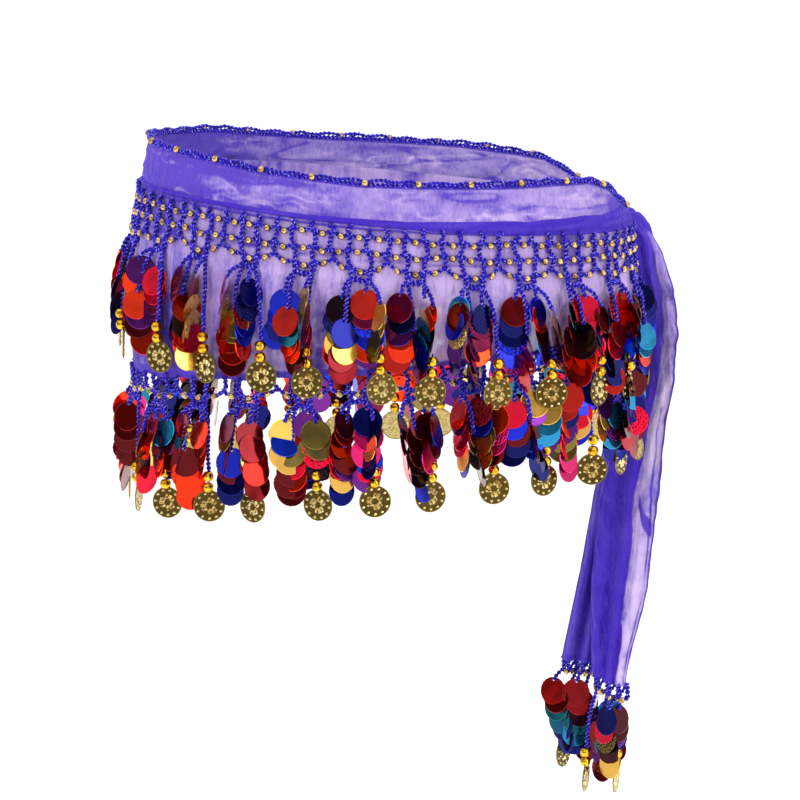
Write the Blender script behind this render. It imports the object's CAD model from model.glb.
"""Belly dance hip scarf: chiffon wound round the hips and knotted at the side, edged with crochet nets that
carry gold beads, strings of sequin discs and stamped coins.

Sizes and heights are in millimetres from the origin of the frame and are turned to metres where a mesh is made.
"""
import math
import random

import bmesh
import bpy
import numpy as np
from bpy.props import FloatProperty, FloatVectorProperty, IntProperty, PointerProperty
from mathutils import Matrix, Vector, noise


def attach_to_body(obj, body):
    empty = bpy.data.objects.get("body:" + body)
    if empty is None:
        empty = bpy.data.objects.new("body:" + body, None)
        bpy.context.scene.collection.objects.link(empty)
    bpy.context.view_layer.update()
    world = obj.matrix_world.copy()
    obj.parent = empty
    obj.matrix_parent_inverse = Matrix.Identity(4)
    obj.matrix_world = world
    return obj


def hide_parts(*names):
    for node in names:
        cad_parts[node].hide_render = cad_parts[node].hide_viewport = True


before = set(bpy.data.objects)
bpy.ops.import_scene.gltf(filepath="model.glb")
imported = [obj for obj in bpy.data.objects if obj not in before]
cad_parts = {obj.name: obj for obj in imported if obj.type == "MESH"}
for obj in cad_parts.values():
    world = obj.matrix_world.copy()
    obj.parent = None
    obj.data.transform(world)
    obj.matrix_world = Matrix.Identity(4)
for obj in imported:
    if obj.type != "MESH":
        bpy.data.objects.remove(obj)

bl_info = {
    "name": "Hip scarf",
    "version": (1, 0, 0),
    "blender": (4, 5, 0),
    "location": "3D View > Sidebar > Hip scarf",
    "description": "Dresses the solids of a belly dance hip scarf in cloth, crochet, beads, discs and coins",
    "category": "Object",
}

MM = 0.001
HALF_IN_MM = 500  # half of a width in metres, as millimetres
UP = Vector((0, 0, 1))
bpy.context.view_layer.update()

# Hip form: height, half width, half depth
HIPS = ((-95, 168, 113), (-40, 169, 112), (0, 165, 107), (40, 157, 100), (65, 154, 96))
HIP_WIDE, HIP_DEEP = 169, 112

# The crochet is counted in cells round the hips, from the side with the knot over the front
CELLS_ROUND = 72
FIRST_CELL = -0.33
CELLS_SCALLOP = 3
SCALLOPS_FRONT = 12
SCALLOPS_BACK = 11
BACK_CELL = FIRST_CELL + SCALLOPS_FRONT * CELLS_SCALLOP
SIDES = (("front", FIRST_CELL, SCALLOPS_FRONT), ("back", BACK_CELL, SCALLOPS_BACK))
SLIT = 0.12  # gap between the two ends of the lower layer, in cells
PITCH = 12.3  # width of a cell

# Heights round the hips: middle height, tilt from side to side, second wave
BAND_LOW = (15.2, -14.6, 1.0)
NET_ROW_1 = (7.0, -13.3, 0.3)
NET_ROW_2 = (-1.7, -12.8, 1.4)
NET_ROW_3 = (-12.5, -13.1, 0.3)
HEM = (-79.8, 14.2, -0.8)

# Upper edge of the band: angle from the knot side over the front, height
BAND_TOP = (
    (-27, 12), (-11, 9), (5, 12), (15, 21), (21, 30), (32, 37), (46, 38), (60, 38), (72, 39), (84, 40),
    (95, 41), (108, 45), (121, 48), (135, 53), (152, 57), (180, 60), (220, 56), (255, 47), (290, 42),
    (315, 36), (325, 25), (333, 12), (349, 9), (365, 12),
)

CLOTH_THIN = 0.45  # thicker than real chiffon, so that its two faces stay apart
OVERLAP = 10.0  # how far the lower layer goes up under the band
BAND_OUT = 1.5  # distance of the band from the hips at its foot
FOLD_OUT = 0.8  # how much farther out it lies at its fullest
TOP_OUT = 0.4  # distance of its upper edge from the hips
BAND_SPREAD = 34.0  # height from which the band bulges fully
# Faces across and up each piece of cloth
BAND_GRID = (432, 32)
FOLD_GRID = (240, 12)
SKIRT_GRID = (396, 46)
TAIL_GRID = (84, 170)
# Second turn of the band: its length in cells, and its height from the knot onwards
FOLD_CELLS = 36.0
FOLD_RISE = ((0.0, 12.0), (0.07, 14.5), (0.23, 10.8), (0.36, 7.6), (0.48, 4.8), (0.62, 3.0), (1.0, 2.4))

# Twisted cord: sides of its outline, distance between outlines, depth of its grooves, twist in a millimetre
YARN_SIDES = 6
YARN_STEP = 0.75
YARN_LOBES = 0.38
YARN_TURN = math.pi / 3.0
CORD_RADIUS = 1.45

NET_OUT = 3.0  # distance of the upper net from the hips
HEM_NET_OUT = 0.6
NET_SCALLOP = 3.0  # height of the scallops of the upper net
HEM_ROW = 8.0  # height of the row under the hem
HEM_SCALLOP = 2.0
FIRST_LINE = 1.4  # how far a net starts below the edge of the cloth
LOOP_DROP = 6.4  # how far the loops at the hanging points reach down
# The rows of the net are drawn up this far at the front
ROW_LIFTS = (0.0, 3.0, 1.9, 2.3)
EDGING_STEPS = 146
# How far out long and short strings hang, and how far along the row from their loop, in cells
UPPER_LAYERS = {"long": 9.2, "short": 4.4}
HEM_LAYERS = {"long": 3.7, "short": -0.6}
TARGET_SHIFTS = {("long", 1): -0.28, ("short", 1): 0.15, ("long", 2): -0.05, ("short", 2): 0.35}

# Tails: height, left x, left y, right x, right y, depth of the folds
TAIL_FRONT = (
    (-20.8, 169.0, 19.5, 187.0, 13.0, 2.0), (-46.0, 171.5, 17.0, 198.0, 5.0, 3.6),
    (-75.0, 172.5, 17.5, 201.0, 0.0, 4.6), (-108.0, 171.0, 19.5, 199.0, 2.0, 5.0),
    (-145.0, 156.0, 21.0, 193.0, 3.0, 5.2), (-185.0, 151.0, 18.0, 190.0, -2.0, 6.4),
    (-250.0, 145.5, 17.0, 182.5, -3.0, 6.4), (-316.0, 146.5, 17.0, 169.0, 0.0, 5.4),
)
TAIL_REAR = (
    (-20.8, 166.0, 31.0, 182.0, 25.0, 1.6), (-46.0, 168.0, 34.5, 187.0, 28.0, 2.8),
    (-75.0, 169.0, 35.0, 189.0, 28.0, 3.6), (-108.0, 167.0, 36.0, 187.0, 29.0, 4.2),
    (-145.0, 156.0, 38.0, 180.0, 31.0, 5.0), (-185.0, 149.0, 41.0, 174.0, 34.0, 6.0),
    (-250.0, 138.5, 42.0, 166.0, 34.0, 6.0), (-313.0, 126.0, 42.0, 156.0, 34.0, 5.4),
)
# Rows that carry the cloth of a tail up over the knot, and how far it bulges there: height, bulge
TOP_FRONT = (
    (7.4, 160.0, 12.0, 165.0, 24.0, 0.6), (0.9, 163.0, 8.5, 174.0, 21.0, 1.0), (-9.7, 167.0, 7.0, 183.0, 17.5, 1.4),
    (-20.8, 169.5, 9.0, 189.5, 13.5, 2.0), (-46.0, 171.5, 16.0, 199.0, 5.0, 3.0),
)
TOP_REAR = ((-10.0, 168.0, 29.0, 182.0, 25.0, 1.5),)
TOP_BULGE = ((-60.0, 0.0), (-25.0, 3.5), (-10.0, 4.5), (7.4, 1.5))
TAIL_FOLDS = 3.0
TAIL_CELLS = 6
TAIL_LENGTH = 0.9  # length of the strings of a tail against those round the hips
# Strands of the tails: share of the width at the row and lower down, distance outwards, coin, turn in degrees,
# colours from the top disc down where they aren't left to chance
FRONT_STRANDS = (
    (0.14, -0.02, 5.5, True, 8, ()), (0.38, 0.30, -5.5, False, -8, ()),
    (0.62, 0.62, 5.5, False, -8, ("#0E1268", "#C00830", "#74622E", "#3A0A1A", "#F0B850", "#B01008")),
    (0.86, 0.92, -5.5, True, 80, ("#4A0A18", "#561A6C", "#0C6472")),
)
REAR_STRANDS = (
    (0.08, -0.12, 5.5, False, -8, ("#B40C0A", "#8E100C", "#0C6472", "#10506E", "#0E1268", "#0E1268")),
    (0.25, 0.10, -5.5, True, 70, ()),
    (0.42, 0.40, 5.5, False, 8, ("#8E0612", "#3A0A1A", "#0C6472", "#2A92C8", "#0E1268")),
    (0.58, 0.62, -5.5, False, -8, ()), (0.75, 0.92, 5.5, True, -80, ()), (0.92, 1.12, -5.5, False, 8, ()),
)
# Tails: name, rows, rows of the cloth with those over the knot, strands, how far the hem slants and sags
TAILS = (
    ("front", TAIL_FRONT, TOP_FRONT + TAIL_FRONT[2:], FRONT_STRANDS, (6.0, 3.0)),
    ("rear", TAIL_REAR, TOP_REAR + TAIL_REAR, REAR_STRANDS, (0.0, 2.0)),
)

# Knot: centre, half sizes, lean outwards towards its foot, distance from the hips
KNOT_AT = (170.0, 22.0, -7.0)
KNOT_HALF = (13.0, 15.5, 18.0)
KNOT_LEAN = 0.4
KNOT_OUT = 3.2

# Strung pieces: drops are measured from the loops of the net
DISC_HOLE = 8.0  # from the middle of the disc
DISC_HALF = 10.0
DISC_STEP = 7.0
DISC_PITCH = math.radians(9)
CHAIN_RADIUS = 1.3
BEAD_DROPS = (47.0, 54.4)
COIN_DROP = 67.0
COIN_THICK = 0.8
COIN_SUNK = 0.25
# Drops of the first and the last disc: short strings, long ones, whose first disc varies, and those over a coin
SHORT_DISCS = (14.0, 53.0)
LONG_FIRST = (28.0, 41.0)
LONG_LAST = 62.0
COIN_DISCS = (20.0, 41.0)
CUT_SHORT = {"short": 15.0, "long": 9.0}  # how much shorter a string may be
LOW_SHARE = 0.3  # share of the short strings that start lower
LOW_START = 5.0
BARE_SHARE = 0.6  # share of the coins that hang without discs
TAIL_BARE_SHARE = 0.5
SAME_COLOUR = 0.24  # share of the discs that repeat the colour above them
GLITTER_SHARE = 0.06
COIN_TURNS = (0.0, 0.2, -0.3, 0.45, -0.6, 1.4, math.pi + 0.2, 0.1)
TAIL_COIN_TURNS = (1.1, 1.3, -1.2)
# Turns of the strings of discs: share of the strings up to here, least and most turn
STRING_TURNS = ((0.38, 0.0, 0.5), (0.62, 0.5, 0.95), (1.0, 1.0, 1.3))

# Colours of the discs, with how often each is strung
DISC_COLOURS = (
    ("#6A0810", 14), ("#A01408", 12), ("#F03206", 12), ("#E00230", 11), ("#E81C74", 3), ("#780E3C", 7),
    ("#641C7A", 9), ("#1426C4", 8), ("#0C1268", 14), ("#30A0D8", 3), ("#0C6A78", 4), ("#FFC45A", 7),
    ("#7E6A32", 5), ("#22101E", 9), ("#123CE0", 3),
)

CAMERA_AIM = (12.0, 0.0, -120.0)
CAMERA_RISE = math.radians(11.5)
CAMERA_FAR = 2300.0
PICTURE_WIDE = 544.0  # what the picture shows at the aim
SENSOR = 36.0
FLOOR = -0.92  # in metres


def linear(code):
    """Linear colour of an sRGB hex value."""
    channels = [int(code[i:i + 2], 16) / 255 for i in (1, 3, 5)]
    return tuple(c / 12.92 if c <= 0.04045 else ((c + 0.055) / 1.055) ** 2.4 for c in channels)


# Hip form and tails

def arc_table():
    """Angle of the hip form against distance round it, as a share of the girth."""
    angles = np.linspace(0, 2 * math.pi, 2881)
    points = np.stack([HIP_WIDE * np.cos(angles), HIP_DEEP * np.sin(angles)], 1)
    steps = np.linalg.norm(np.diff(points, axis=0), axis=1)
    shares = np.concatenate([[0], np.cumsum(steps)])
    return shares / shares[-1], angles


SHARES, ANGLES = arc_table()


def angle_at(cell):
    """Angle from the knot side over the front for a place counted in cells."""
    share = cell / CELLS_ROUND
    turns = math.floor(share)
    return float(np.interp(share - turns, SHARES, ANGLES)) + turns * 2 * math.pi


def read_off(value, table, column=1):
    """Value of a table between its rows; the first column holds the places."""
    return float(np.interp(value, [row[0] for row in table], [row[column] for row in table]))


def hip_frame(cell, height, out=0.0):
    """Point outside the hip form with the directions along and away from it."""
    angle = angle_at(cell)
    wide, deep = read_off(height, HIPS), read_off(height, HIPS, 2)
    away = Vector((math.cos(angle) / wide, -math.sin(angle) / deep, 0)).normalized()
    along = Vector((-math.sin(angle) * wide, -math.cos(angle) * deep, 0)).normalized()
    return Vector((wide * math.cos(angle), -deep * math.sin(angle), height)) + away * out, along, away


def level_at(level, cell):
    """Height of a crochet row or an edge at a place counted in cells."""
    angle = angle_at(cell)
    return level[0] + level[1] * math.cos(angle) + level[2] * math.cos(2 * angle)


def band_top(cell):
    """Height of the upper edge of the band."""
    degrees = (math.degrees(angle_at(cell)) + 27) % 360 - 27
    return read_off(degrees, BAND_TOP)


def front_left(cell):
    """1 at the front and left of the hips, 0 at the knot and the back."""
    point = hip_frame(cell, -20.0)[0]
    return soft(-point.y, 60.0) * float(np.interp(point.x, (-150, -20, 110), (1.0, 0.85, 0.0)))


def scallop_at(cell):
    """1 at the top of an arch of the scalloped edge, -1 between two hanging points."""
    return math.cos(2 * math.pi * (cell - FIRST_CELL) / CELLS_SCALLOP)


def tail_point(table, share, height, deep=1.0):
    """Point of a tail with the directions along and across its folds. share runs from left to right."""
    heights = [-row[0] for row in table]
    values = [float(np.interp(-height, heights, [row[i] for row in table])) for i in range(1, 6)]
    left = Vector((values[0], values[1], height))
    right = Vector((values[2], values[3], height))
    along = (right - left).normalized()
    across = Vector((along.y, -along.x, 0))
    fold = math.sin(2 * math.pi * TAIL_FOLDS * max(0.0, share) ** 1.35) * (1.0 - 0.45 * share)
    return left.lerp(right, share) + across * (values[4] * fold * deep), along, across


def wander(*place):
    """Soft random number from -1 to 1 that changes slowly from place to place."""
    return noise.noise(Vector(place))


def crumple(point, wide, high, seed=0.0):
    """Soft random height from -1 to 1 that stretches wide by high millimetres over the cloth."""
    return wander(point.x / wide, point.y / wide + seed, point.z / high)


def soft(value, width):
    """0 to 1 across an edge of a certain width."""
    return min(1.0, max(0.0, 0.5 + value / width))


def ridge(value, sharp=3.0):
    """Turns a soft random height into narrow ridges."""
    return max(0.0, 1.0 - 2.4 * abs(value)) ** sharp


# Making and keeping pieces

def deselect():
    """Leaves nothing selected, so that an operator acts only on its own piece."""
    bpy.ops.object.select_all(action="DESELECT")


def choose(piece):
    """Makes one piece the selected and active one."""
    deselect()
    piece.select_set(True)
    bpy.context.view_layer.objects.active = piece


def apply_modifier(piece, kind, **values):
    """Adds a modifier to a piece and applies it."""
    choose(piece)
    bpy.ops.object.modifier_add(type=kind)
    made = piece.modifiers[-1]
    for key, value in values.items():
        setattr(made, key, value)
    bpy.ops.object.modifier_apply(modifier=made.name)


def place_object(name, data):
    """New object in the scene."""
    made = bpy.data.objects.new(name, data)
    bpy.context.scene.collection.objects.link(made)
    return made


def note_points(mesh, name, values):
    """Keeps a number for each point of a mesh, for its material."""
    mesh.attributes.new(name, "FLOAT", "POINT").data.foreach_set("value", values)


def settle(piece, name, key, solid):
    """Names a finished piece, gives it its material and lets it stand for a solid of the scarf."""
    piece.name = name
    piece.data.name = name
    piece.data.materials.clear()
    piece.data.materials.append(finish(key))
    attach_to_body(piece, "root")
    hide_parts(solid)
    return piece


def new_sheet(grid, place, layers, inside, closed=False):
    """Thin cloth from a grid: place and layers take shares across and up; inside is a point behind the cloth."""
    deselect()
    bpy.ops.mesh.primitive_grid_add(x_subdivisions=grid[0], y_subdivisions=grid[1], size=1.0)
    piece = bpy.context.object
    mesh = piece.data
    stacked = []
    for vert in mesh.vertices:
        across, up = vert.co.x + 0.5, vert.co.y + 0.5
        point = place(across, up)
        vert.co = point * MM
        stacked.append(layers(across, up, point))
    note_points(mesh, "layers", stacked)
    if closed:
        bpy.ops.object.mode_set(mode="EDIT")
        bpy.ops.mesh.select_all(action="SELECT")
        bpy.ops.mesh.remove_doubles(threshold=1e-6)
        bpy.ops.object.mode_set(mode="OBJECT")
    if sum(face.normal.dot(face.center - inside * MM) * face.area for face in mesh.polygons) < 0:
        mesh.flip_normals()
    apply_modifier(piece, "SOLIDIFY", thickness=CLOTH_THIN * MM, offset=0.0, use_even_offset=False)
    bpy.ops.object.shade_smooth()
    return piece


def smooth_path(points, step):
    """Even points along a soft curve through the given ones."""
    p = np.array([tuple(q) for q in points], float)
    p = np.vstack([2 * p[0] - p[1], p, 2 * p[-1] - p[-2]])
    dense = []
    t = np.linspace(0, 1, 9)[:-1, None]
    for i in range(1, len(p) - 2):
        a, b, c, d = p[i - 1:i + 3]
        square, cube = 2 * a - 5 * b + 4 * c - d, 3 * b - a - 3 * c + d
        dense.append(0.5 * (2 * b + (c - a) * t + square * t ** 2 + cube * t ** 3))
    dense = np.vstack(dense + [p[-2:-1]])
    gone = np.concatenate([[0], np.cumsum(np.linalg.norm(np.diff(dense, axis=0), axis=1))])
    places = np.linspace(0, gone[-1], max(2, math.ceil(gone[-1] / step)) + 1)
    return np.stack([np.interp(places, gone, dense[:, k]) for k in range(3)], 1), places


def yarn_mesh(cords):
    """Joins twisted two-ply cords into one mesh. Each cord is its points and its radius in millimetres."""
    verts, faces, crests = [], [], []
    start_turn = 0.0
    for points, radius in cords:
        path, places = smooth_path(points, YARN_STEP)
        tangents = np.gradient(path, axis=0)
        tangents /= np.maximum(np.linalg.norm(tangents, axis=1), 1e-9)[:, None]
        side = np.cross(tangents[0], (0.31, 0.93, 0.19))
        side /= np.linalg.norm(side)
        base = len(verts)
        start_turn += 1.7
        for i, (point, tangent) in enumerate(zip(path, tangents)):
            side = side - tangent * side.dot(tangent)
            side /= np.linalg.norm(side)
            other = np.cross(tangent, side)
            turn = start_turn + places[i] * YARN_TURN
            swell = radius * (1.0 + 0.10 * math.sin(places[i] * 2.9 + start_turn))
            for k in range(YARN_SIDES):
                angle = 2 * math.pi * k / YARN_SIDES
                lobe = math.cos(2 * angle)
                reach = swell * (1.0 + YARN_LOBES * lobe)
                spot = point + (side * math.cos(angle + turn) + other * math.sin(angle + turn)) * reach
                verts.append(tuple(spot * MM))
                crests.append(0.5 + 0.5 * lobe)
        rings = len(path)
        for i in range(rings - 1):
            for k in range(YARN_SIDES):
                a = base + i * YARN_SIDES + k
                b = base + i * YARN_SIDES + (k + 1) % YARN_SIDES
                faces.append((a, b, b + YARN_SIDES, a + YARN_SIDES))
        last = base + (rings - 1) * YARN_SIDES
        faces.append(tuple(base + k for k in reversed(range(YARN_SIDES))))
        faces.append(tuple(last + k for k in range(YARN_SIDES)))
    mesh = bpy.data.meshes.new("cords")
    mesh.from_pydata(verts, [], faces)
    note_points(mesh, "crest", crests)
    mesh.polygons.foreach_set("use_smooth", [True] * len(mesh.polygons))
    mesh.update()
    return place_object("cords", mesh)


def strung(model, places, tints=(), smooth=40):
    """Copies of a small model at many places, joined in one mesh. A tint is a colour and a share of glitter."""
    source = np.array([tuple(v.co) for v in model.vertices])
    corners = [tuple(face.vertices) for face in model.polygons]
    verts, faces = [], []
    for matrix in places:
        base = len(verts)
        verts.extend(map(tuple, (source @ np.array(matrix.to_3x3()).T + np.array(matrix.translation)) * MM))
        faces.extend(tuple(base + c for c in corner) for corner in corners)
    mesh = bpy.data.meshes.new("strung")
    mesh.from_pydata(verts, [], faces)
    for kept in model.attributes:
        if kept.data_type == "FLOAT" and kept.domain == "POINT":
            note_points(mesh, kept.name, [v.value for v in kept.data] * len(places))
    if tints:
        size = len(source)
        colour = mesh.attributes.new("tint", "FLOAT_COLOR", "POINT")
        colour.data.foreach_set("color", [c for tint, _ in tints for c in (*tint, 1.0) * size])
        note_points(mesh, "glitter", [glitter for _, glitter in tints for _ in range(size)])
    mesh.update()
    made = place_object("strung", mesh)
    choose(made)
    bpy.ops.object.shade_smooth_by_angle(angle=math.radians(smooth))
    return made


def taken_mesh():
    """Takes the mesh of the active object as a model to copy and removes the object."""
    piece = bpy.context.object
    mesh = piece.data
    bpy.data.objects.remove(piece)
    return mesh


def disc_model(radius):
    """Sequin disc: thin flat foil with a bright cut rim and a hole punched near its top.

    The front looks along +Y, the hole is at the top and the middle of the disc is at the origin."""
    deselect()
    forward = (-math.pi / 2, 0, 0)
    bpy.ops.mesh.primitive_cylinder_add(
        vertices=5, radius=0.95, depth=2.0, location=(0, 0, DISC_HOLE), rotation=forward
    )
    punch = bpy.context.object
    bpy.ops.mesh.primitive_cone_add(
        vertices=20, radius1=radius, radius2=radius - 0.45, depth=0.26, location=(0, 0.03, 0), rotation=forward
    )
    bpy.ops.object.transform_apply(location=True, rotation=True, scale=False)
    disc = bpy.context.object
    apply_modifier(disc, "BOOLEAN", operation="DIFFERENCE", object=punch)
    bpy.data.objects.remove(punch)
    apply_modifier(disc, "TRIANGULATE")
    return taken_mesh()


def bead_model(radius, around, rows):
    """Bead: a ball a little flattened at its two drilled ends, which lie along X."""
    deselect()
    sideways = (0, math.pi / 2, 0)
    bpy.ops.mesh.primitive_uv_sphere_add(segments=around, ring_count=rows, radius=radius, rotation=sideways)
    bpy.ops.object.transform_apply(location=False, rotation=True, scale=False)
    for vert in bpy.context.object.data.vertices:
        vert.co.x = max(-0.88 * radius, min(0.88 * radius, vert.co.x))
    return taken_mesh()


def coin_model(radius):
    """Stamped coin: a raised rim, dots inside it and a leafy scroll in the middle; its hole is at the top."""
    deselect()
    bpy.ops.mesh.primitive_cylinder_add(vertices=32, radius=radius, depth=COIN_THICK, rotation=(math.pi / 2, 0, 0))
    bpy.ops.object.transform_apply(location=False, rotation=True, scale=False)
    plate = bpy.context.object
    bpy.ops.object.mode_set(mode="EDIT")
    bm = bmesh.from_edit_mesh(plate.data)
    for face in bm.faces:
        face.select = abs(face.normal.y) > 0.9
    bmesh.update_edit_mesh(plate.data)
    bpy.ops.mesh.inset(thickness=0.55, depth=0.0)
    bpy.ops.mesh.inset(thickness=0.25, depth=-COIN_SUNK)
    bpy.ops.object.mode_set(mode="OBJECT")
    pieces = [plate]
    dots = [(0.80 * radius, (i + 0.5) / 11, 1.2) for i in range(11)]
    dots += [(0.28 * radius, (i + 0.2) / 3, 0.8) for i in range(3)]
    for reach, part, size in dots:
        angle = 2 * math.pi * part
        deselect()
        bpy.ops.mesh.primitive_ico_sphere_add(
            subdivisions=1, radius=size, location=(reach * math.sin(angle), 0.12, reach * math.cos(angle))
        )
        bpy.ops.object.transform_apply(location=True, rotation=False, scale=False)
        pieces.append(bpy.context.object)
    # curling leaves on a ring round the middle
    for i in range(6):
        lean = 1 if i % 2 else -1
        middle = 2 * math.pi * (i + 0.15 * lean) / 6
        points = []
        for j in range(6):
            angle = middle + lean * (1.3 + 1.0 * j)
            reach = 2.6 - 0.36 * j
            side, high = reach * math.sin(angle), reach * math.cos(angle)
            points.append((4.4 * math.sin(middle) + side, 0.2, 4.4 * math.cos(middle) + high))
        pieces.append(wire(points, 0.75))
    choose(plate)
    for piece in pieces:
        piece.select_set(True)
    bpy.ops.object.join()
    # how far each place is rubbed bright: the sunk floor, in front and behind, the outer edge and all that stands up
    rubbed = []
    for vert in plate.data.vertices:
        if abs(abs(vert.co.y) - COIN_THICK / 2 + COIN_SUNK) < 0.01:
            rubbed.append(0.0 if vert.co.y > 0 else 0.7)
        else:
            rubbed.append(0.4 if math.hypot(vert.co.x, vert.co.z) > radius - 0.6 else 1.0)
    note_points(plate.data, "relief", rubbed)
    return taken_mesh()


def wire(points, radius):
    """Four-sided wire through points, as a mesh object with closed ends."""
    curve = bpy.data.curves.new("wire", "CURVE")
    curve.dimensions = "3D"
    curve.bevel_depth = radius
    curve.bevel_resolution = 0
    curve.use_fill_caps = True
    spline = curve.splines.new("POLY")
    spline.points.add(len(points) - 1)
    for spot, point in zip(spline.points, points):
        spot.co = (*point, 1.0)
    choose(place_object("wire", curve))
    bpy.ops.object.convert(target="MESH")
    return bpy.context.object


# Materials

def new_material(name):
    """Empty material with its nodes, its shader and an output with the place of each point."""
    made = bpy.data.materials.new(name)
    made.use_nodes = True
    tree = made.node_tree
    return made, tree, tree.nodes["Principled BSDF"], add_node(tree, "TexCoord").outputs["Object"]


def feed(tree, node, sockets):
    """Gives sockets of a node, by name or number, a value or the link from an output or from a node's first one."""
    for socket, value in sockets.items():
        if isinstance(value, bpy.types.Node):
            value = value.outputs[0]
        if isinstance(value, bpy.types.NodeSocket):
            tree.links.new(value, node.inputs[socket])
        else:
            node.inputs[socket].default_value = value


def add_node(tree, kind, sockets=None, ramp=(), **settings):
    """Adds a node with its sockets fed, its properties set and, on a colour ramp, its places and colours."""
    made = tree.nodes.new("ShaderNode" + kind)
    for key, value in settings.items():
        setattr(made, key, value)
    feed(tree, made, sockets or {})
    if ramp:
        elements = made.color_ramp.elements
        for element, value in zip(elements, (ramp[0], ramp[-1])):
            element.position, element.color = value
        for place, colour in ramp[1:-1]:
            elements.new(place).color = colour
    return made


def rgba(colour):
    """Colour with full opacity, from an sRGB hex value or from linear numbers."""
    return (*(linear(colour) if isinstance(colour, str) else colour), 1.0)


def grey(value):
    """Grey of a linear value, with full opacity."""
    return (value, value, value, 1.0)


def chiffon_material(look):
    """Polyester chiffon, woven of fine crimped yarn and dyed in the piece: sheer and matt, so one layer looks pale
    and smoky, folded layers look deep, and light from behind comes through."""
    made, tree, shader, place = new_material("polyester chiffon")
    stacked = add_node(tree, "Attribute", attribute_name="layers").outputs["Fac"]
    # soft clouds, 30 by 6 mm, where the cloth lies tight or loose
    wide = add_node(tree, "Mapping", {"Vector": place, "Scale": (45, 45, 90)})
    cloud = add_node(tree, "TexNoise", {"Vector": wide, "Scale": 1.0, "Detail": 3.0, "Roughness": 0.55})
    # yarns, really 0.15 mm apart, drawn 1.7 mm apart so that they show
    fine = add_node(tree, "Mapping", {"Vector": place, "Scale": (620, 620, 230)})
    yarn = add_node(tree, "TexNoise", {"Vector": fine, "Scale": 1.0, "Detail": 1.0})
    drawn = add_node(tree, "Math", {0: yarn, 1: 0.36, 2: -0.18}, operation="MULTIPLY_ADD")
    clouded = add_node(tree, "Math", {0: cloud, 1: 0.7, 2: -0.35}, operation="MULTIPLY_ADD")
    uneven = add_node(tree, "Math", {0: clouded, 1: drawn}, operation="ADD")
    depth = add_node(tree, "Math", {0: stacked, 1: uneven}, operation="ADD")
    share = add_node(tree, "MapRange", {0: depth, 1: 0.5, 2: 3.0})
    tone = add_node(tree, "ValToRGB", {0: share}, (
        (0.0, rgba(look.cloth_sheer)), (0.28, rgba(look.cloth_single)), (1.0, rgba(look.cloth_doubled)),
    ))
    solid = add_node(tree, "MapRange", {0: depth, 1: 0.2, 2: 1.7, 3: 0.62, 4: 0.99})
    # small crumples, 8 to 20 mm long
    long = add_node(tree, "Mapping", {"Vector": place, "Scale": (130, 130, 50), "Rotation": (0.5, 0.4, 0)})
    crumples = add_node(tree, "TexNoise", {"Vector": long, "Scale": 1.0, "Detail": 3.0, "Roughness": 0.55})
    bent = add_node(tree, "Bump", {"Height": crumples, "Strength": 0.8, "Distance": 0.008})
    relief = add_node(tree, "Bump", {"Height": yarn, "Normal": bent, "Strength": 0.25, "Distance": 0.0003})
    feed(tree, shader, {
        "Base Color": tone, "Alpha": solid, "Normal": relief, "Roughness": 0.75, "IOR": 1.5,
        "Specular IOR Level": 0.25, "Sheen Weight": 0.35, "Sheen Roughness": 0.4, "Sheen Tint": rgba("#8F7BE8"),
    })
    return made


def cord_material(look):
    """Two-ply viscose crochet cord, twisted and dyed: its crests shine pale and the gaps between plies are dark."""
    made, tree, shader, place = new_material("twisted viscose cord")
    crest = add_node(tree, "Attribute", attribute_name="crest").outputs["Fac"]
    # filaments of the plies, really 0.02 mm, drawn 0.7 mm so that they show as flecks
    fleck = add_node(tree, "TexNoise", {"Vector": place, "Scale": 900.0, "Detail": 1.0})
    spread = add_node(tree, "Math", {0: fleck, 1: 2.4, 2: -1.3}, operation="MULTIPLY_ADD")
    tone = add_node(tree, "Math", {0: crest, 1: spread}, operation="ADD")
    body = add_node(tree, "ValToRGB", {0: tone}, (
        (0.12, rgba(look.cord_dark)), (0.45, rgba(look.cord_colour)), (0.82, rgba(look.cord_colour)),
        (1.0, rgba(look.cord_pale)),
    ))
    relief = add_node(tree, "Bump", {"Height": fleck, "Strength": 0.8, "Distance": 0.0006})
    feed(tree, shader, {"Base Color": body, "Normal": relief, "Roughness": 0.5, "Specular IOR Level": 0.12})
    return made


def disc_material(look):
    """Metallised polyester film, punched flat and lacquered in a colour: it mirrors its surroundings in that colour,
    a few discs break the light into sparks, and the cut rim is bright."""
    made, tree, shader, place = new_material("metallised polyester film")
    tint = add_node(tree, "Attribute", attribute_name="tint").outputs["Color"]
    spark = add_node(tree, "Attribute", attribute_name="glitter").outputs["Fac"]
    # glitter grains, really 0.3 mm, drawn 1.6 mm so that they show
    grains = add_node(tree, "TexVoronoi", {"Vector": place, "Scale": 620.0})
    wave = add_node(tree, "TexNoise", {"Vector": place, "Scale": 60.0, "Detail": 1.0})
    tone = add_node(tree, "MapRange", {0: grains.outputs["Color"], 1: 0.0, 2: 1.0, 3: 0.45, 4: 1.7})
    level = add_node(tree, "Mix", {0: spark, 2: 1.0, 3: tone})
    coloured = add_node(tree, "VectorMath", {0: tint, 3: level}, operation="SCALE")
    height = add_node(tree, "Math", {0: grains.outputs["Distance"], 1: spark}, operation="MULTIPLY")
    bent = add_node(tree, "Bump", {"Height": wave, "Strength": 0.12, "Distance": 0.003})
    relief = add_node(tree, "Bump", {"Height": height, "Normal": bent, "Strength": 0.8, "Distance": 0.0012})
    feed(tree, shader, {
        "Base Color": coloured, "Normal": relief, "Metallic": 0.9, "Roughness": 0.16, "Coat Weight": 0.15,
        "Coat Roughness": 0.06,
    })
    return made


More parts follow.
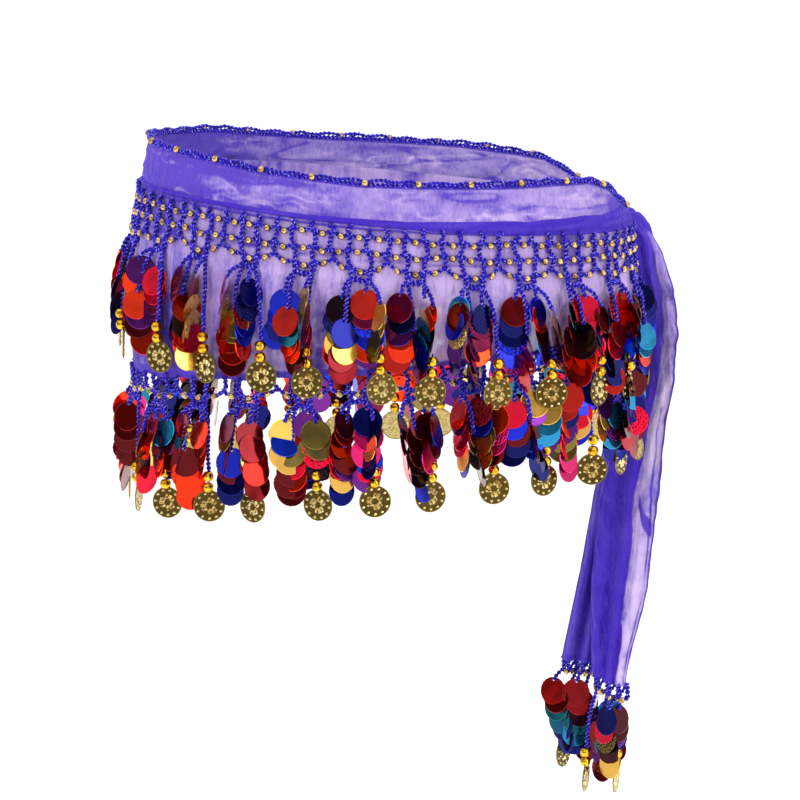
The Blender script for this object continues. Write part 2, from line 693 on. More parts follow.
def plated_material(name, bright, dark):
    """Acrylic bead, metallised gold in a vacuum: smooth, bright and mirror-like."""
    made, tree, shader, place = new_material(name)
    worn = add_node(tree, "TexNoise", {"Vector": place, "Scale": 320.0, "Detail": 2.0})
    tone = add_node(tree, "ValToRGB", {0: worn}, ((0.3, rgba(dark)), (0.55, rgba(bright))))
    rough = add_node(tree, "MapRange", {0: worn, 1: 0.3, 2: 0.7, 3: 0.22, 4: 0.10})
    feed(tree, shader, {"Base Color": tone, "Roughness": rough, "Metallic": 1.0})
    return made


def bead_material(look):
    """The small beads of the nets are pale gold."""
    return plated_material("pale gold plated acrylic", look.gold, "#7E5A28")


def drop_material(look):
    """The larger beads over the coins are a deeper yellow."""
    return plated_material("yellow gold plated acrylic", look.drop_gold, "#A87408")


def coin_material(look):
    """Thin brass sheet, stamped and darkened with antique lacquer: its high places are rubbed bright."""
    made, tree, shader, place = new_material("stamped brass")
    high = add_node(tree, "Attribute", attribute_name="relief").outputs["Fac"]
    # grain of the rubbed lacquer, 1.2 mm
    grain = add_node(tree, "TexNoise", {"Vector": place, "Scale": 850.0, "Detail": 3.0})
    worn = add_node(tree, "Math", {0: grain, 1: 0.7, 2: -0.35}, operation="MULTIPLY_ADD")
    share = add_node(tree, "Math", {0: high, 1: worn}, operation="ADD")
    tone = add_node(tree, "ValToRGB", {0: share}, (
        (0.1, rgba("#54431E")), (0.5, rgba("#94803F")), (0.95, rgba("#E6D296")),
    ))
    relief = add_node(tree, "Bump", {"Height": grain, "Strength": 0.4, "Distance": 0.0004})
    feed(tree, shader, {"Base Color": tone, "Normal": relief, "Metallic": 1.0, "Roughness": 0.28})
    return made


def paper_material(look):
    """Matt white paper, lit a little from within so that the studio's floor stays white in the picture."""
    made, tree, shader, place = new_material("matt white paper")
    speck = add_node(tree, "TexNoise", {"Vector": place, "Scale": 3.0})
    tone = add_node(tree, "ValToRGB", {0: speck}, ((0.3, grey(0.90)), (0.7, grey(0.93))))
    feed(tree, shader, {
        "Base Color": tone, "Roughness": 0.9, "Emission Color": grey(1.0), "Emission Strength": 0.15,
    })
    return made


MAKERS = {
    "chiffon": chiffon_material, "cord": cord_material, "disc": disc_material, "bead": bead_material,
    "drop": drop_material, "coin": coin_material, "paper": paper_material,
}
FINISHES = {}


def finish(key):
    """Material of the scarf by its short name, made once."""
    if key not in FINISHES:
        FINISHES[key] = MAKERS[key](bpy.context.scene.hip_scarf_look)
    return FINISHES[key]


# Strings of discs

class Trim:
    """Pieces of one fringe or net: cords, discs, beads and coins with their places."""

    def __init__(self, seed):
        self.rng = random.Random(seed)
        self.cords, self.discs, self.tints = [], [], []
        self.beads, self.drops, self.coins = [], [], []

    def cord(self, points, radius):
        """Twisted cord through points."""
        self.cords.append((points, radius))

    def bead(self, point, along, away):
        """Small bead threaded on a cord."""
        self.beads.append(turned(point, along, away, 0.0, 0.0, 0.0))

    def stack(self, place, cell, first, last, out, yaw, colours=()):
        """Discs on one string from the first to the last, each over the one below it."""
        rng = self.rng
        count = max(2, round((last - first) / DISC_STEP) + 1)
        colour = pick_colour(rng)
        drift = rng.uniform(-0.14, 0.14)
        sway = rng.uniform(-0.38, 0.38)
        steps = [0.0] + [rng.uniform(0.5, 1.5) for _ in range(count - 1)]
        gone = 0.0
        for i, step in enumerate(steps):
            gone += step
            share = gone / sum(steps)
            if colours:
                colour = colours[min(i * len(colours) // count, len(colours) - 1)]
            elif rng.random() > SAME_COLOUR:
                colour = pick_colour(rng)
            point, along, away = place(cell + sway * share, first + (last - first) * share, out)
            yaw += drift + rng.uniform(-0.12, 0.12)
            pitch = DISC_PITCH + 0.22 * (1 - share) * rng.random()
            point += along * rng.uniform(-1.0, 1.0)
            self.discs.append(turned(point, along, away, yaw, pitch, rng.uniform(-0.2, 0.2), DISC_HOLE))
            self.tints.append((shade(linear(colour), rng), 1.0 if rng.random() < GLITTER_SHARE else 0.0))

    def chain(self, start, place, cell, drop, out, front):
        """Crochet chain from the net to a disc's hole or a bead."""
        rng = self.rng
        points = [start]
        for share in (0.35, 0.7):
            point, along, away = place(cell, drop * share, out)
            bend = start.lerp(place(cell, drop, out)[0], share)
            points.append(bend.lerp(point, 0.5) + away * (front * share) + along * rng.uniform(-0.6, 0.6))
        point, along, away = place(cell, drop, out)
        points.append(point + away * front)
        self.cord(points, CHAIN_RADIUS)

    def string(self, place, root, cell, kind, out, coin, turn=None, length=1.0, colours=()):
        """One string: a chain, then discs, or two beads and a coin, or both. Round the hips its turn is left to
        chance, and so is its length; the strings of the tails state their turn."""
        rng, free = self.rng, turn is None
        away = place(cell, 0.0, 0.0)[2]
        yaw = pick_turn(rng) * (0.4 + 0.6 * abs(away.y)) if free else turn
        short = kind == "short"
        first, last = SHORT_DISCS if short else (rng.uniform(*LONG_FIRST), LONG_LAST)
        if free:
            last -= rng.uniform(0.0, CUT_SHORT[kind])
        if short and rng.random() < LOW_SHARE:
            first += LOW_START
        bare = coin and rng.random() < (BARE_SHARE if free else TAIL_BARE_SHARE)
        if coin:
            first, last = COIN_DISCS
        first, last = first * length, last * length
        clear = max(out, 1.8 + 0.95 * DISC_HALF * abs(math.sin(yaw))) if free else out
        if not short:
            cell += rng.uniform(-0.35, 0.35)
        if not bare:
            self.chain(root, place, cell, first - DISC_HOLE, clear, 1.1)
            self.stack(place, cell, first, last, clear, yaw, colours)
        if not coin:
            return
        if bare:
            self.chain(root, place, cell, BEAD_DROPS[0] * length - 2.0, out, 0.8)
        tilt = rng.uniform(-0.12, 0.12)
        point, along, away = place(cell, BEAD_DROPS[0] * length - 5.0, out + 0.8)
        lower = place(cell + tilt, COIN_DROP * length - 9.0, out + 1.6)[0]
        self.cord([point, lower], 0.5)
        for drop in BEAD_DROPS:
            spot = place(cell + tilt * (drop - 40) / 30, drop * length, out + 2.2)[0]
            self.drops.append(turned(spot, UP, away, 0.0, 0.0, 0.0))
        spot = place(cell + tilt, COIN_DROP * length, out + 1.2)[0]
        coin_yaw = rng.choice(COIN_TURNS if free else TAIL_COIN_TURNS)
        self.coins.append(turned(spot, along, away, coin_yaw, 0.03, rng.uniform(-0.25, 0.25)))

    def keep(self, name):
        """Makes the pieces of this trim, which together stand for the solid of the same name."""
        sizes = bpy.context.scene.hip_scarf
        if self.cords:
            settle(yarn_mesh(self.cords), name + "_cords", "cord", name)
        for key, places, model, wide, detail, tints, smooth in (
            ("disc", self.discs, disc_model, sizes.disc, (), self.tints, 12),
            ("bead", self.beads, bead_model, sizes.bead, (12, 8), (), 40),
            ("drop", self.drops, bead_model, sizes.drop_bead, (14, 10), (), 40),
            ("coin", self.coins, coin_model, sizes.coin, (), (), 40),
        ):
            if places:
                piece = strung(model(wide * HALF_IN_MM, *detail), places, tints, smooth)
                settle(piece, "%s_%ss" % (name, key), key, name)


def pick_colour(rng):
    """One disc colour, as often as it is strung."""
    return rng.choices([c for c, _ in DISC_COLOURS], [w for _, w in DISC_COLOURS])[0]


def pick_turn(rng):
    """How far a string of discs is turned: some face out, some stand askew and many hang nearly on edge."""
    part = rng.random()
    low, high = next(row[1:] for row in STRING_TURNS if part < row[0])
    return rng.uniform(low, high) * rng.choice((-1, 1))


def shade(colour, rng):
    """A slightly lighter or darker colour."""
    level = rng.uniform(0.7, 1.25)
    return tuple(min(1.0, c * level) for c in colour)


def turned(point, along, away, yaw, pitch, roll, hung=0.0):
    """Place of a strung piece: turned about its string, tipped out at its foot and swung, about its hole."""
    basis = Matrix((along, away, along.cross(away) if abs(along.z) > 0.9 else UP)).transposed()
    turn = Matrix.Rotation(yaw, 3, "Z") @ Matrix.Rotation(pitch, 3, "X") @ Matrix.Rotation(roll, 3, "Y")
    matrix = (basis @ turn).to_4x4()
    hole = UP * hung
    matrix.translation = point + hole - matrix.to_3x3() @ hole
    return matrix


# Crochet

def sagging(a, middle, b, sag):
    """Points of a cord that hangs from a through its middle to b."""
    return [a, a.lerp(middle, 0.5) - UP * sag, middle, middle.lerp(b, 0.5) - UP * sag, b]


def crochet_net(trim, levels, first, scallops, out, wavy, drops, hook):
    """Ladder of cords with a bead in each link, and a thick loop at each pair of hanging points.

    Returns the corner points of the loops by scallop and attaching column."""
    rng = trim.rng
    columns = scallops * CELLS_SCALLOP
    edge = CORD_RADIUS / PITCH
    pitch = (columns - 2 * edge) / columns
    last = len(levels) - 1
    knots = {}
    for column in range(columns + 1):
        for line in range(len(levels)):
            cell = first + edge + column * pitch + (rng.uniform(-0.15, 0.15) if 0 < column < columns else 0.0)
            height = level_at(levels[line], cell) - drops[line] + rng.uniform(-1.2, 1.2)
            if line == last:
                height += wavy * scallop_at(first + column)
            if last > 1:
                front = soft(-hip_frame(cell, 0.0)[0].y, 60.0)
                height += -1.8 * front_left(cell) if line == 0 else ROW_LIFTS[line] * front
            knots[column, line] = hip_frame(cell, height, out + rng.uniform(-0.15, 0.25))
    for column in range(columns + 1):
        top, along, away = knots[column, 0]
        path = [top + UP * hook + away * 0.9, top + UP * (0.3 * hook) + away * 1.0]
        for line in range(1, len(levels)):
            point = knots[column, line][0]
            before = path[-1] if line == 1 else knots[column, line - 1][0]
            lean = along * rng.uniform(0.6, 1.7) * (1 if (column + line) % 2 else -1)
            path += [before.lerp(point, 0.5) + lean, point]
        trim.cord(path, CORD_RADIUS)
        # small loop that hooks the cord into the cloth
        ends = [path[0] + along * side - away * 0.7 - UP * 1.6 for side in (1.3, -1.3)]
        trim.cord([ends[0], path[0] + away * 0.5, ends[1]], 0.7)
    for line in range(1, len(levels)):
        for column in range(columns):
            a, along, away = knots[column, line]
            b = knots[column + 1, line][0]
            middle = a.lerp(b, 0.5) - UP * rng.uniform(1.4, 3.0) + away * 0.5
            trim.cord(sagging(a, middle, b, 0.25), CORD_RADIUS * 0.9)
            trim.bead(middle + away * 0.4, (b - a).normalized(), away)
    corners = {}
    for scallop in range(scallops):
        ends = []
        for attach in (1, 2):
            point, along, away = knots[scallop * CELLS_SCALLOP + attach, last]
            inward = along * (0.9 if attach == 1 else -0.9)
            corner = point + inward - UP * LOOP_DROP + away * 0.4
            corners[scallop, attach] = corner
            ends.append((point, corner))
        (a, a_low), (b, b_low) = ends
        for high, low, thick in ((a, a_low, 1.1), (b, b_low, 1.15)):
            trim.cord([high, high.lerp(low, 0.6), low], CORD_RADIUS * thick)
        middle = a_low.lerp(b_low, 0.5) - UP * 1.2
        trim.cord(sagging(a_low, middle, b_low, 0.4), CORD_RADIUS * 1.3)
        trim.cord([a.lerp(a_low, 0.35), a.lerp(b, 0.5) - UP * 2.8, b.lerp(b_low, 0.35)], CORD_RADIUS * 0.9)
    return corners


def dress_side(name, level, base, wavy, levels, drops, hook, out, layers, seed):
    """Net and fringe of one crochet edge, front and back."""
    for side, first, scallops in SIDES:
        net = Trim(seed + len(side))
        corners = crochet_net(net, levels, first, scallops, out, wavy, drops, hook)
        net.keep("net_%s_%s" % (name, side))
        fringe = Trim(seed + 10 * len(side))

        def place(cell, drop, out_by):
            height = level_at(level, cell) - base - 0.5 * wavy - LOOP_DROP - drop
            return hip_frame(cell, height, out_by)

        for (scallop, attach), corner in corners.items():
            start = first + scallop * CELLS_SCALLOP
            for kind in ("long", "short"):
                cell = start + attach + TARGET_SHIFTS[kind, attach]
                coin = kind == "long" and attach == 1
                fringe.string(place, corner, cell, kind, layers[kind], coin)
        fringe.keep("fringe_%s_%s" % (name, side))


# Cloth

def band_place(across, up):
    """Upper band with soft creases that run round it."""
    cell = FIRST_CELL + across * CELLS_ROUND
    low = level_at(BAND_LOW, cell) - 2.8 * front_left(cell)
    high = band_top(cell) - low
    spread = min(1.0, high / BAND_SPREAD)
    bulge = float(np.interp(up, (0, 0.42, 1), (0, FOLD_OUT, TOP_OUT - BAND_OUT))) * spread
    point, along, away = hip_frame(cell, low + high * up, BAND_OUT + 0.5 + bulge)
    held = math.sin(math.pi * min(1.0, up * 1.02)) ** 0.5 if up < 0.98 else 0.2
    crease = 0.9 * crumple(point, 45, 8) + 0.9 * ridge(crumple(point, 70, 9, 5.0))
    crease += 0.35 * crumple(point, 12, 30, 9.0)
    return point + away * (crease * held * (0.4 + 0.6 * spread))


def band_layers(across, up, point):
    """One layer with small pale smears where it is pulled tight, denser at the left side, doubled along its edges."""
    dense = float(np.interp(point.x, (-165, -120, -50, 120, 148, 166), (1.5, 1.25, 0.98, 0.8, 1.0, 1.8)))
    cloud = 0.16 * crumple(point, 42, 7, 11.0) + 0.14 * crumple(point, 9, 5, 31.0)
    spot = soft(crumple(point, 34, 12, 41.0) - 0.12, 0.3)
    smear = 0.45 * ridge(crumple(point, 14, 5, 21.0), 4.0) * spot * (0.1 < up < 0.9)
    line = 0.35 * ridge(crumple(point, 60, 12, 51.0), 9.0) * (0.1 < up < 0.9)
    return dense + cloud - smear + line + 0.6 * (up < 0.04) + 0.8 * (up > 0.95)


def fold_place(across, up):
    """Second turn of the cloth along the lower part of the band, narrowing away from the knot."""
    cell = FIRST_CELL + 0.2 + across * FOLD_CELLS
    low = level_at(BAND_LOW, cell) + 0.4
    rise = min(read_off(across, FOLD_RISE), band_top(cell) - low - 1.0)
    point, along, away = hip_frame(cell, low + rise * up, BAND_OUT + 1.5)
    folds = 0.8 * math.sin(2 * math.pi * 2.6 * up + 5.0 * across) * max(0.1, 1 - 2 * across)
    crease = folds + 0.7 * crumple(point, 60, 4, 3.0)
    rolled = 0.9 * math.sin(math.pi * up) - 0.7 * (up > 0.97)
    return point + away * (crease * 0.8 + rolled)


def fold_layers(across, up, point):
    """Several layers with thin streaks along the fold."""
    return 2.9 + 0.9 * crumple(point, 30, 3, 8.0)


def skirt_cell(across):
    """Place round the hips for a share of the lower layer's length."""
    return FIRST_CELL - CELLS_SCALLOP / 2 + SLIT + across * (CELLS_ROUND - 2 * SLIT)


def skirt_place(across, up):
    """Lower layer, pulled into shallow upright waves by the hanging points of its hem."""
    cell = skirt_cell(across)
    low_edge = level_at(BAND_LOW, cell)
    top = low_edge + min(OVERLAP, 0.6 * (band_top(cell) - low_edge))
    hem = level_at(HEM, cell) + 0.7 * scallop_at(cell)
    height = hem + (top - hem) * up
    point, along, away = hip_frame(cell, height, 0.55)
    fall = 1.0 - up
    waves = 0.55 * math.sin(2 * math.pi * cell / CELLS_SCALLOP + 0.6) * fall
    crease = 0.8 * crumple(point, 14, 60) + 0.6 * ridge(crumple(point, 22, 80, 4.0))
    crease += 0.3 * crumple(point, 40, 12, 8.0)
    held = min(1.0, 6 * fall + 0.15)
    return point + away * ((waves + crease * min(1.0, 5 * up + 0.3)) * held)


def skirt_layers(across, up, point):
    """One layer with upright pulls; the folded edge of the band's cloth shows through its upper part."""
    cell = skirt_cell(across)
    above = point.z - level_at(NET_ROW_2, cell) + 4.0 + 3.0 * crumple(point, 30, 400, 6.0)
    pulls = 0.35 * crumple(point, 3.5, 50, 3.0) + 0.7 * crumple(point, 34, 130, 13.0)
    folded = 0.2 * soft(above, 1.0) + 0.5 * soft(0.9 - abs(above), 1.0)
    left = 0.35 * soft(-point.x - 80, 90)
    return 0.48 + pulls + folded + left + 0.2 * soft(0.35 - up, 0.5) + 1.0 * (up < 0.022)


def tail_creases(across, height):
    """Depth of a long crease, a slanting one and the small wrinkles at a place of a tail."""
    width = 34.0 * across
    warp = 6.0 * wander(width / 20, height / 45, 4.0)
    long_crease = ridge(wander((width + warp + 0.10 * height) / 11, height / 95, 1.0), 1.5)
    slant = ridge(wander((width - 0.55 * height + warp) / 13, (height + width) / 60, 7.0), 2.0)
    slant *= soft(wander(width / 25, height / 50, 17.0) - 0.02, 0.3)
    wrinkle = wander(width / 5, (height + 1.2 * width) / 13, 3.0)
    return long_crease, slant, wrinkle


def hem_sag(sag, share):
    """How far the hem of a tail hangs below its left corner."""
    return sag[0] * share + sag[1] * math.sin(math.pi * min(1.0, max(0.0, share)))


def tail_place(table, deep, layers, sag):
    """Hanging end of the scarf: lengthwise folds, long slanting creases and short wrinkles between them."""
    top, foot = table[0][0], table[-1][0]

    def place(across, up):
        height = top + (foot - hem_sag(sag, across) - top) * (1 - up)
        drift = 0.03 * crumple(UP * height, 10, 45, 2.0)
        share = min(1.0, max(0.0, across + drift * math.sin(math.pi * across)))
        point, along, out = tail_point(table, share, height, deep * (1 - 0.75 * soft(height + 120, 80)))
        bulge = read_off(height, TOP_BULGE) if deep < 1 else 0.0
        long_crease, slant, wrinkle = tail_creases(across, height)
        loose = min(1.0, (1 - up) * 5 + 0.2)
        relief = 1.8 * long_crease + 2.4 * slant + 1.3 * wrinkle + 0.3 * layers(across, up, point)
        return point + out * (relief * loose + bulge * math.sin(math.pi * across))
    return place


def front_tail_layers(across, up, point):
    """Many layers lie together in the left part. The right one is a single fold with sheer windows in it, parted by
    a slanting edge, and a rolled border."""
    long_crease, slant, wrinkle = tail_creases(across, point.z)
    ragged = across + 0.03 * wrinkle + 0.03 * wander(across * 2, up * 9, 8.0)
    edge = 0.63 + 0.03 * math.sin(11 * up + 1) + 0.02 * math.sin(27 * up) - 0.10 * soft(up - 0.76, 0.15)
    dense = soft(edge - across, 0.02)
    rolled = soft(across - 0.965, 0.01)
    rolled += soft(0.010 - abs(across - 0.885 - 0.03 * math.sin(8 * up)), 0.01) * (up < 0.6)
    upper = min(ragged - 0.80 - 14 * (up - 0.60) ** 2, 0.95 - ragged, 0.6 * (up - 0.51), 0.6 * (0.70 - up))
    left = 0.665 + 1.9 * max(0.0, up - 0.38) ** 2 + 0.15 * max(0.0, up - 0.52)
    lower = min(ragged - left, 0.94 - ragged, 0.6 * (0.66 - up))
    slanting = abs((up - 0.39) + 0.22 * (across - 0.69)) - 0.014
    window = max(soft(upper, 0.02), soft(min(lower, 2 * slanting), 0.02))
    cloud = 0.25 * noise.noise(point * 0.06) + 0.45 * slant + 0.2 * long_crease + 0.5 * wrinkle
    strip = soft(-slanting, 0.006) * (0.66 < across < 0.94)
    folded = 0.88 + 0.9 * strip + 0.9 * soft(0.66 - across, 0.08) * soft(up - 0.7, 0.1) + 0.25 * wrinkle
    thin = 0.3 + 0.5 * slant + 0.25 * long_crease + 0.35 * wrinkle
    body = max((2.55 + cloud) * dense, folded * (1 - window) * (1 - dense))
    return body + thin * window * (1 - dense) + 0.7 * rolled


def rear_tail_layers(across, up, point):
    """Two loose layers that part into one here and there, with a rolled border."""
    parted = soft(wander(across * 3, up * 4, 5.0) - 0.05, 0.08)
    net = 0.5 * noise.noise(point * 0.45)
    return 2.1 + 0.8 * soft(up - 0.8, 0.2) - 0.6 * parted + net + 0.9 * (across < 0.03 or across > 0.97 or up < 0.012)


def knot_mesh():
    """Knot: gathered cloth with deep folds, crossed by the turn that ties it, narrowing into the tails below."""
    deselect()
    bpy.ops.mesh.primitive_uv_sphere_add(segments=112, ring_count=64, radius=1.0)
    piece = bpy.context.object
    for vert in piece.data.vertices:
        ball = vert.co.copy()
        turn = math.atan2(ball.z, ball.x) + 0.5 * noise.noise(ball * 1.2)
        loose = (1 - ball.y ** 2) * (1 - 0.6 * ball.z ** 4)
        fold = 1.0 + 0.07 * math.sin(5 * turn + 3.5 * ball.y) * loose
        fold += 0.07 * ridge(0.8 * math.sin(6 * turn + 6 * ball.y), 1.5) * loose
        lean = ball.y + 0.35 * ball.z
        strap = soft(0.42 - abs(lean), 0.12)
        fold += strap * (0.10 + 0.03 * math.sin(19 * lean + 2 * noise.noise(ball * 2)))
        x = KNOT_AT[0] + KNOT_HALF[0] * 0.92 * ball.x * fold
        y = KNOT_AT[1] + KNOT_HALF[1] * ball.y * (0.94 + 0.05 * math.sin(6 * ball.z))
        z = KNOT_AT[2] - 2.0 + KNOT_HALF[2] * 0.98 * ball.z * fold
        x += KNOT_LEAN * (KNOT_AT[2] - z)
        wide, deep = read_off(z, HIPS) + KNOT_OUT, read_off(z, HIPS, 2) + KNOT_OUT
        limit = wide * math.sqrt(max(0.0, 1 - (y / deep) ** 2))
        vert.co = Vector((max(x, limit), y, z)) * MM
    note_points(piece.data, "layers", [2.7] * len(piece.data.vertices))
    choose(piece)
    bpy.ops.object.shade_smooth()
    return piece


# Add-on

class HipScarfSizes(bpy.types.PropertyGroup):
    """Sizes of the strung pieces."""
    disc: FloatProperty(name="Disc", description="Width of a sequin disc", default=0.020, unit="LENGTH")
    bead: FloatProperty(name="Net bead", description="Width of a bead in the crochet", default=0.0048, unit="LENGTH")
    drop_bead: FloatProperty(name="Drop bead", description="Width of beads over a coin", default=0.0075, unit="LENGTH")
    coin: FloatProperty(name="Coin", description="Width of a coin", default=0.021, unit="LENGTH")
    seed: IntProperty(name="Order of colours", description="Changes the order in which discs are strung", default=7)


def colour_property(name, description, code):
    """Colour that a user can change."""
    return FloatVectorProperty(
        name=name, description=description, default=linear(code), subtype="COLOR", size=3, min=0.0, max=1.0
    )


class HipScarfLook(bpy.types.PropertyGroup):
    """Colours of the cloth, the cord and the metal."""
    cloth_sheer: colour_property("Sheer cloth", "One layer where it lies tight", "#CDB4E8")
    cloth_single: colour_property("Single cloth", "One layer", "#5A42BA")
    cloth_doubled: colour_property("Doubled cloth", "Several layers together", "#3B20AA")
    cord_colour: colour_property("Cord", "Crests of the crochet cord", "#3220C4")
    cord_dark: colour_property("Cord gaps", "Gaps between the plies", "#0E0650")
    cord_pale: colour_property("Cord flecks", "Filaments that catch the light", "#A89CF6")
    gold: colour_property("Pale gold", "Small beads of the net", "#DCBA78")
    drop_gold: colour_property("Yellow gold", "Beads above the coins", "#ECBC34")


class HIPSCARF_OT_band(bpy.types.Operator):
    """Makes the upper band and the second turn of cloth that lies on it"""
    bl_idname = "hip_scarf.band"
    bl_label = "Band"

    def execute(self, context):
        centre = Vector((0, 0, 0))
        band = new_sheet(BAND_GRID, band_place, band_layers, centre, closed=True)
        settle(band, "chiffon_band", "chiffon", "wrap_band")
        fold = new_sheet(FOLD_GRID, fold_place, fold_layers, centre)
        settle(fold, "chiffon_fold", "chiffon", "wrap_band")
        return {"FINISHED"}


class HIPSCARF_OT_skirt(bpy.types.Operator):
    """Makes the lower layer of the cloth"""
    bl_idname = "hip_scarf.skirt"
    bl_label = "Lower layer"

    def execute(self, context):
        skirt = new_sheet(SKIRT_GRID, skirt_place, skirt_layers, Vector((0, 0, -40)))
        settle(skirt, "chiffon_skirt", "chiffon", "wrap_skirt")
        return {"FINISHED"}


class HIPSCARF_OT_tails(bpy.types.Operator):
    """Makes the knot and the two hanging ends with their crochet and strings"""
    bl_idname = "hip_scarf.tails"
    bl_label = "Knot and tails"

    def execute(self, context):
        settle(knot_mesh(), "chiffon_knot", "chiffon", "knot")
        for name, table, rows, strands, sag in TAILS:
            deep, layers = (0.5, front_tail_layers) if name == "front" else (1.0, rear_tail_layers)
            behind = Vector((170, 400, -160))
            tail = new_sheet(TAIL_GRID, tail_place(rows, deep, layers, sag), layers, behind)
            settle(tail, "chiffon_tail_" + name, "chiffon", "tail_" + name)
            self.trim(name, table, strands, sag, context.scene.hip_scarf.seed)
        return {"FINISHED"}

    def trim(self, name, table, strands, sag, seed):
        """Crochet row and strings at the end of a tail."""
        hem = table[-1][0]
        net = Trim(seed + 3 * len(name))
        rng = net.rng
        tops, lows = [], []
        for column in range(TAIL_CELLS + 1):
            share = 0.04 + 0.92 * column / TAIL_CELLS
            point, along, away = tail_point(table, share, hem, 0.6)
            point -= UP * hem_sag(sag, share)
            high = point + UP * 1.8
            swung = point + along * rng.uniform(-1.2, 1.2) + away * rng.uniform(-1, 1)
            low = swung - UP * rng.uniform(6.2, 8.6)
            tops.append(high)
            lows.append(low)
            net.cord([high, high.lerp(low, 0.5) + along * rng.uniform(-1.2, 1.2), low], CORD_RADIUS * 1.1)
        for a, b, high in zip(lows, lows[1:], tops[1:]):
            middle = a.lerp(b, 0.5) - UP * rng.uniform(0.6, 2.0)
            net.cord([a, middle, b], CORD_RADIUS * 1.05)
            net.cord([a, a.lerp(high, 0.5) - away * 0.6, high], CORD_RADIUS * 0.8)
            net.bead(middle + away * (1.2 if away.y < 0 else -1.2), (b - a).normalized(), away)
        net.keep("tail_net_" + name)
        fringe = Trim(seed + 5 * len(name))
        left, right = Vector(table[-1][1:3]), Vector(table[-1][3:5])
        along = Vector((*(right - left).normalized(), 0))
        away = Vector((along.y, -along.x, 0))
        top = hem - 10.8 - 0.7 * sag[0]

        def place(share, drop, out_by):
            flat = left.lerp(right, share)
            return Vector((flat.x, flat.y, top - drop)) + away * out_by, -along, -away if away.y > 0 else away

        for index, (share, to, out, coin, turn, colours) in enumerate(strands):
            kind = "long" if index % 2 else "short"
            nearest = min(lows, key=lambda p: (p - place(share, 0, 0)[0]).length)
            fringe.string(place, nearest, to, kind, out, coin, math.radians(turn), TAIL_LENGTH, colours)
        fringe.keep("tail_fringe_" + name)


class HIPSCARF_OT_edging(bpy.types.Operator):
    """Makes the crochet edge along the top of the band"""
    bl_idname = "hip_scarf.edging"
    bl_label = "Top edging"

    def execute(self, context):
        trim = Trim(context.scene.hip_scarf.seed)
        count = EDGING_STEPS
        line, upper = [], []
        for i in range(count + 1):
            cell = FIRST_CELL + CELLS_ROUND * i / count
            wave = 0.5 * math.sin(1.9 * i) + 0.4 * math.sin(0.37 * i) if 0 < i < count else 0.0
            base, along, away = hip_frame(cell, band_top(cell) + 0.5 + 0.3 * wave, 1.2)
            line.append(base)
            upper.append(base + UP * (2.2 + wave) + away * 0.2)
            if i % 6 == 3:
                trim.bead(base + UP * 1.4 + away * 1.5, along, away)
        for i in range(0, count, 2):
            trim.cord([line[i], line[i].lerp(upper[i + 1], 0.5), upper[i + 1]], 0.8)
        for i in range(0, count, 18):
            trim.cord(line[i:i + 19], 1.2)
            trim.cord(upper[i:i + 19], 1.1)
        trim.keep("top_edging")
        return {"FINISHED"}


class HIPSCARF_OT_upper(bpy.types.Operator):
    """Makes the three-row crochet net under the band and its strings"""
    bl_idname = "hip_scarf.upper"
    bl_label = "Upper net and fringe"

    def execute(self, context):
        levels = (BAND_LOW, NET_ROW_1, NET_ROW_2, NET_ROW_3)
        dress_side(
            "upper", NET_ROW_3, 0.0, NET_SCALLOP, levels, (FIRST_LINE, 0.0, 0.0, 0.0), 2.8, NET_OUT, UPPER_LAYERS,
            context.scene.hip_scarf.seed + 100,
        )
        return {"FINISHED"}


class HIPSCARF_OT_hem(bpy.types.Operator):
    """Makes the crochet row under the hem and its strings"""
    bl_idname = "hip_scarf.hem"
    bl_label = "Hem net and fringe"

    def execute(self, context):
        low = FIRST_LINE + HEM_ROW
        dress_side(
            "hem", HEM, low, HEM_SCALLOP, (HEM, HEM), (FIRST_LINE, low), 3.0, HEM_NET_OUT, HEM_LAYERS,
            context.scene.hip_scarf.seed + 200,
        )
        return {"FINISHED"}


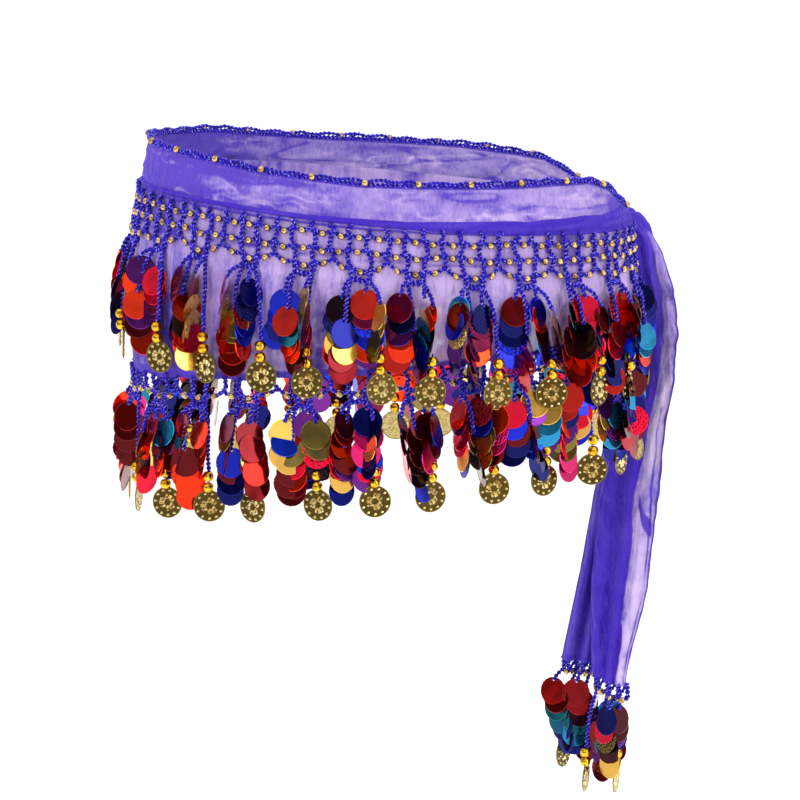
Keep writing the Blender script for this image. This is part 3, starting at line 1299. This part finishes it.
class HIPSCARF_OT_stage(bpy.types.Operator):
    """Sets the floor, the studio light and the camera"""
    bl_idname = "hip_scarf.stage"
    bl_label = "Stage"

    def execute(self, context):
        scene = context.scene
        deselect()
        bpy.ops.mesh.primitive_circle_add(vertices=96, radius=60.0, fill_type="NGON", location=(0, 0, FLOOR))
        floor = context.object
        floor.name = "floor"
        floor.data.materials.append(finish("paper"))

        world = bpy.data.worlds.new("studio")
        world.use_nodes = True
        scene.world = world
        tree = world.node_tree
        place = add_node(tree, "TexCoord").outputs["Generated"]
        parts = add_node(tree, "SeparateXYZ", {0: place})
        # white and dark panels stand round the studio below a white ceiling, so that the foil has something to mirror
        panel = add_node(tree, "TexNoise", {"Vector": place, "Scale": 3.2, "Detail": 0.0})
        wall = add_node(tree, "MapRange", {0: panel, 1: 0.46, 2: 0.52, 3: 0.07, 4: 1.1})
        rise = add_node(tree, "MapRange", {0: parts.outputs["Z"], 1: 0.45, 2: 0.6})
        tone = add_node(tree, "Mix", {0: rise, 2: wall, 3: 1.25})
        ray = add_node(tree, "LightPath").outputs["Is Camera Ray"]
        seen = add_node(tree, "Mix", {0: ray, 2: tone, 3: 1.0})
        feed(tree, tree.nodes["Background"], {"Color": seen, "Strength": 1.0})

        aim = Vector(CAMERA_AIM) * MM
        for name, place, size, power in (
            ("key softbox", (-1.5, -1.9, 0.9), (1.3, 1.5), 26), ("fill softbox", (1.9, -1.5, 0.5), (0.8, 1.6), 14),
            ("top softbox", (0.0, 0.2, 2.0), (1.8, 1.4), 18), ("back softbox", (0.5, 2.2, 0.6), (1.6, 1.2), 18),
        ):
            light = bpy.data.lights.new(name, "AREA")
            light.shape = "RECTANGLE"
            light.size, light.size_y = size
            light.energy = power
            lamp = place_object(name, light)
            lamp.location = place
            lamp.visible_glossy = name == "fill softbox"
            lamp.rotation_euler = (aim - Vector(place)).to_track_quat("-Z", "Y").to_euler()

        lens = bpy.data.cameras.new("camera")
        lens.sensor_width = SENSOR
        lens.lens = SENSOR * CAMERA_FAR / PICTURE_WIDE
        lens.clip_end = 200.0
        camera = place_object("camera", lens)
        back = Vector((0, -math.cos(CAMERA_RISE), math.sin(CAMERA_RISE)))
        camera.location = aim + back * CAMERA_FAR * MM
        camera.rotation_euler = (math.pi / 2 - CAMERA_RISE, 0, 0)
        scene.camera = camera
        scene.view_settings.view_transform = "Standard"
        return {"FINISHED"}


class HIPSCARF_PT_panel(bpy.types.Panel):
    """Sizes, colours and steps of the hip scarf"""
    bl_idname = "HIPSCARF_PT_panel"
    bl_label = "Hip scarf"
    bl_space_type = "VIEW_3D"
    bl_region_type = "UI"
    bl_category = "Hip scarf"

    def draw(self, context):
        for group in (context.scene.hip_scarf, context.scene.hip_scarf_look):
            for key in type(group).__annotations__:
                self.layout.prop(group, key)
        for step in STEPS:
            self.layout.operator(step.bl_idname)


STEPS = (
    HIPSCARF_OT_stage, HIPSCARF_OT_band, HIPSCARF_OT_skirt, HIPSCARF_OT_edging, HIPSCARF_OT_upper, HIPSCARF_OT_hem,
    HIPSCARF_OT_tails,
)
CLASSES = (HipScarfSizes, HipScarfLook, *STEPS, HIPSCARF_PT_panel)


def register():
    """Adds the classes and the settings of the scene."""
    for made in CLASSES:
        bpy.utils.register_class(made)
    bpy.types.Scene.hip_scarf = PointerProperty(type=HipScarfSizes)
    bpy.types.Scene.hip_scarf_look = PointerProperty(type=HipScarfLook)


def unregister():
    """Removes the settings and the classes."""
    del bpy.types.Scene.hip_scarf_look
    del bpy.types.Scene.hip_scarf
    for made in reversed(CLASSES):
        bpy.utils.unregister_class(made)


def main():
    """Makes the whole scarf and notes the size of the solids and of the finished pieces."""
    register()
    for step in STEPS:
        group, name = step.bl_idname.split(".")
        getattr(getattr(bpy.ops, group), name)()


if __name__ == "__main__":
    main()
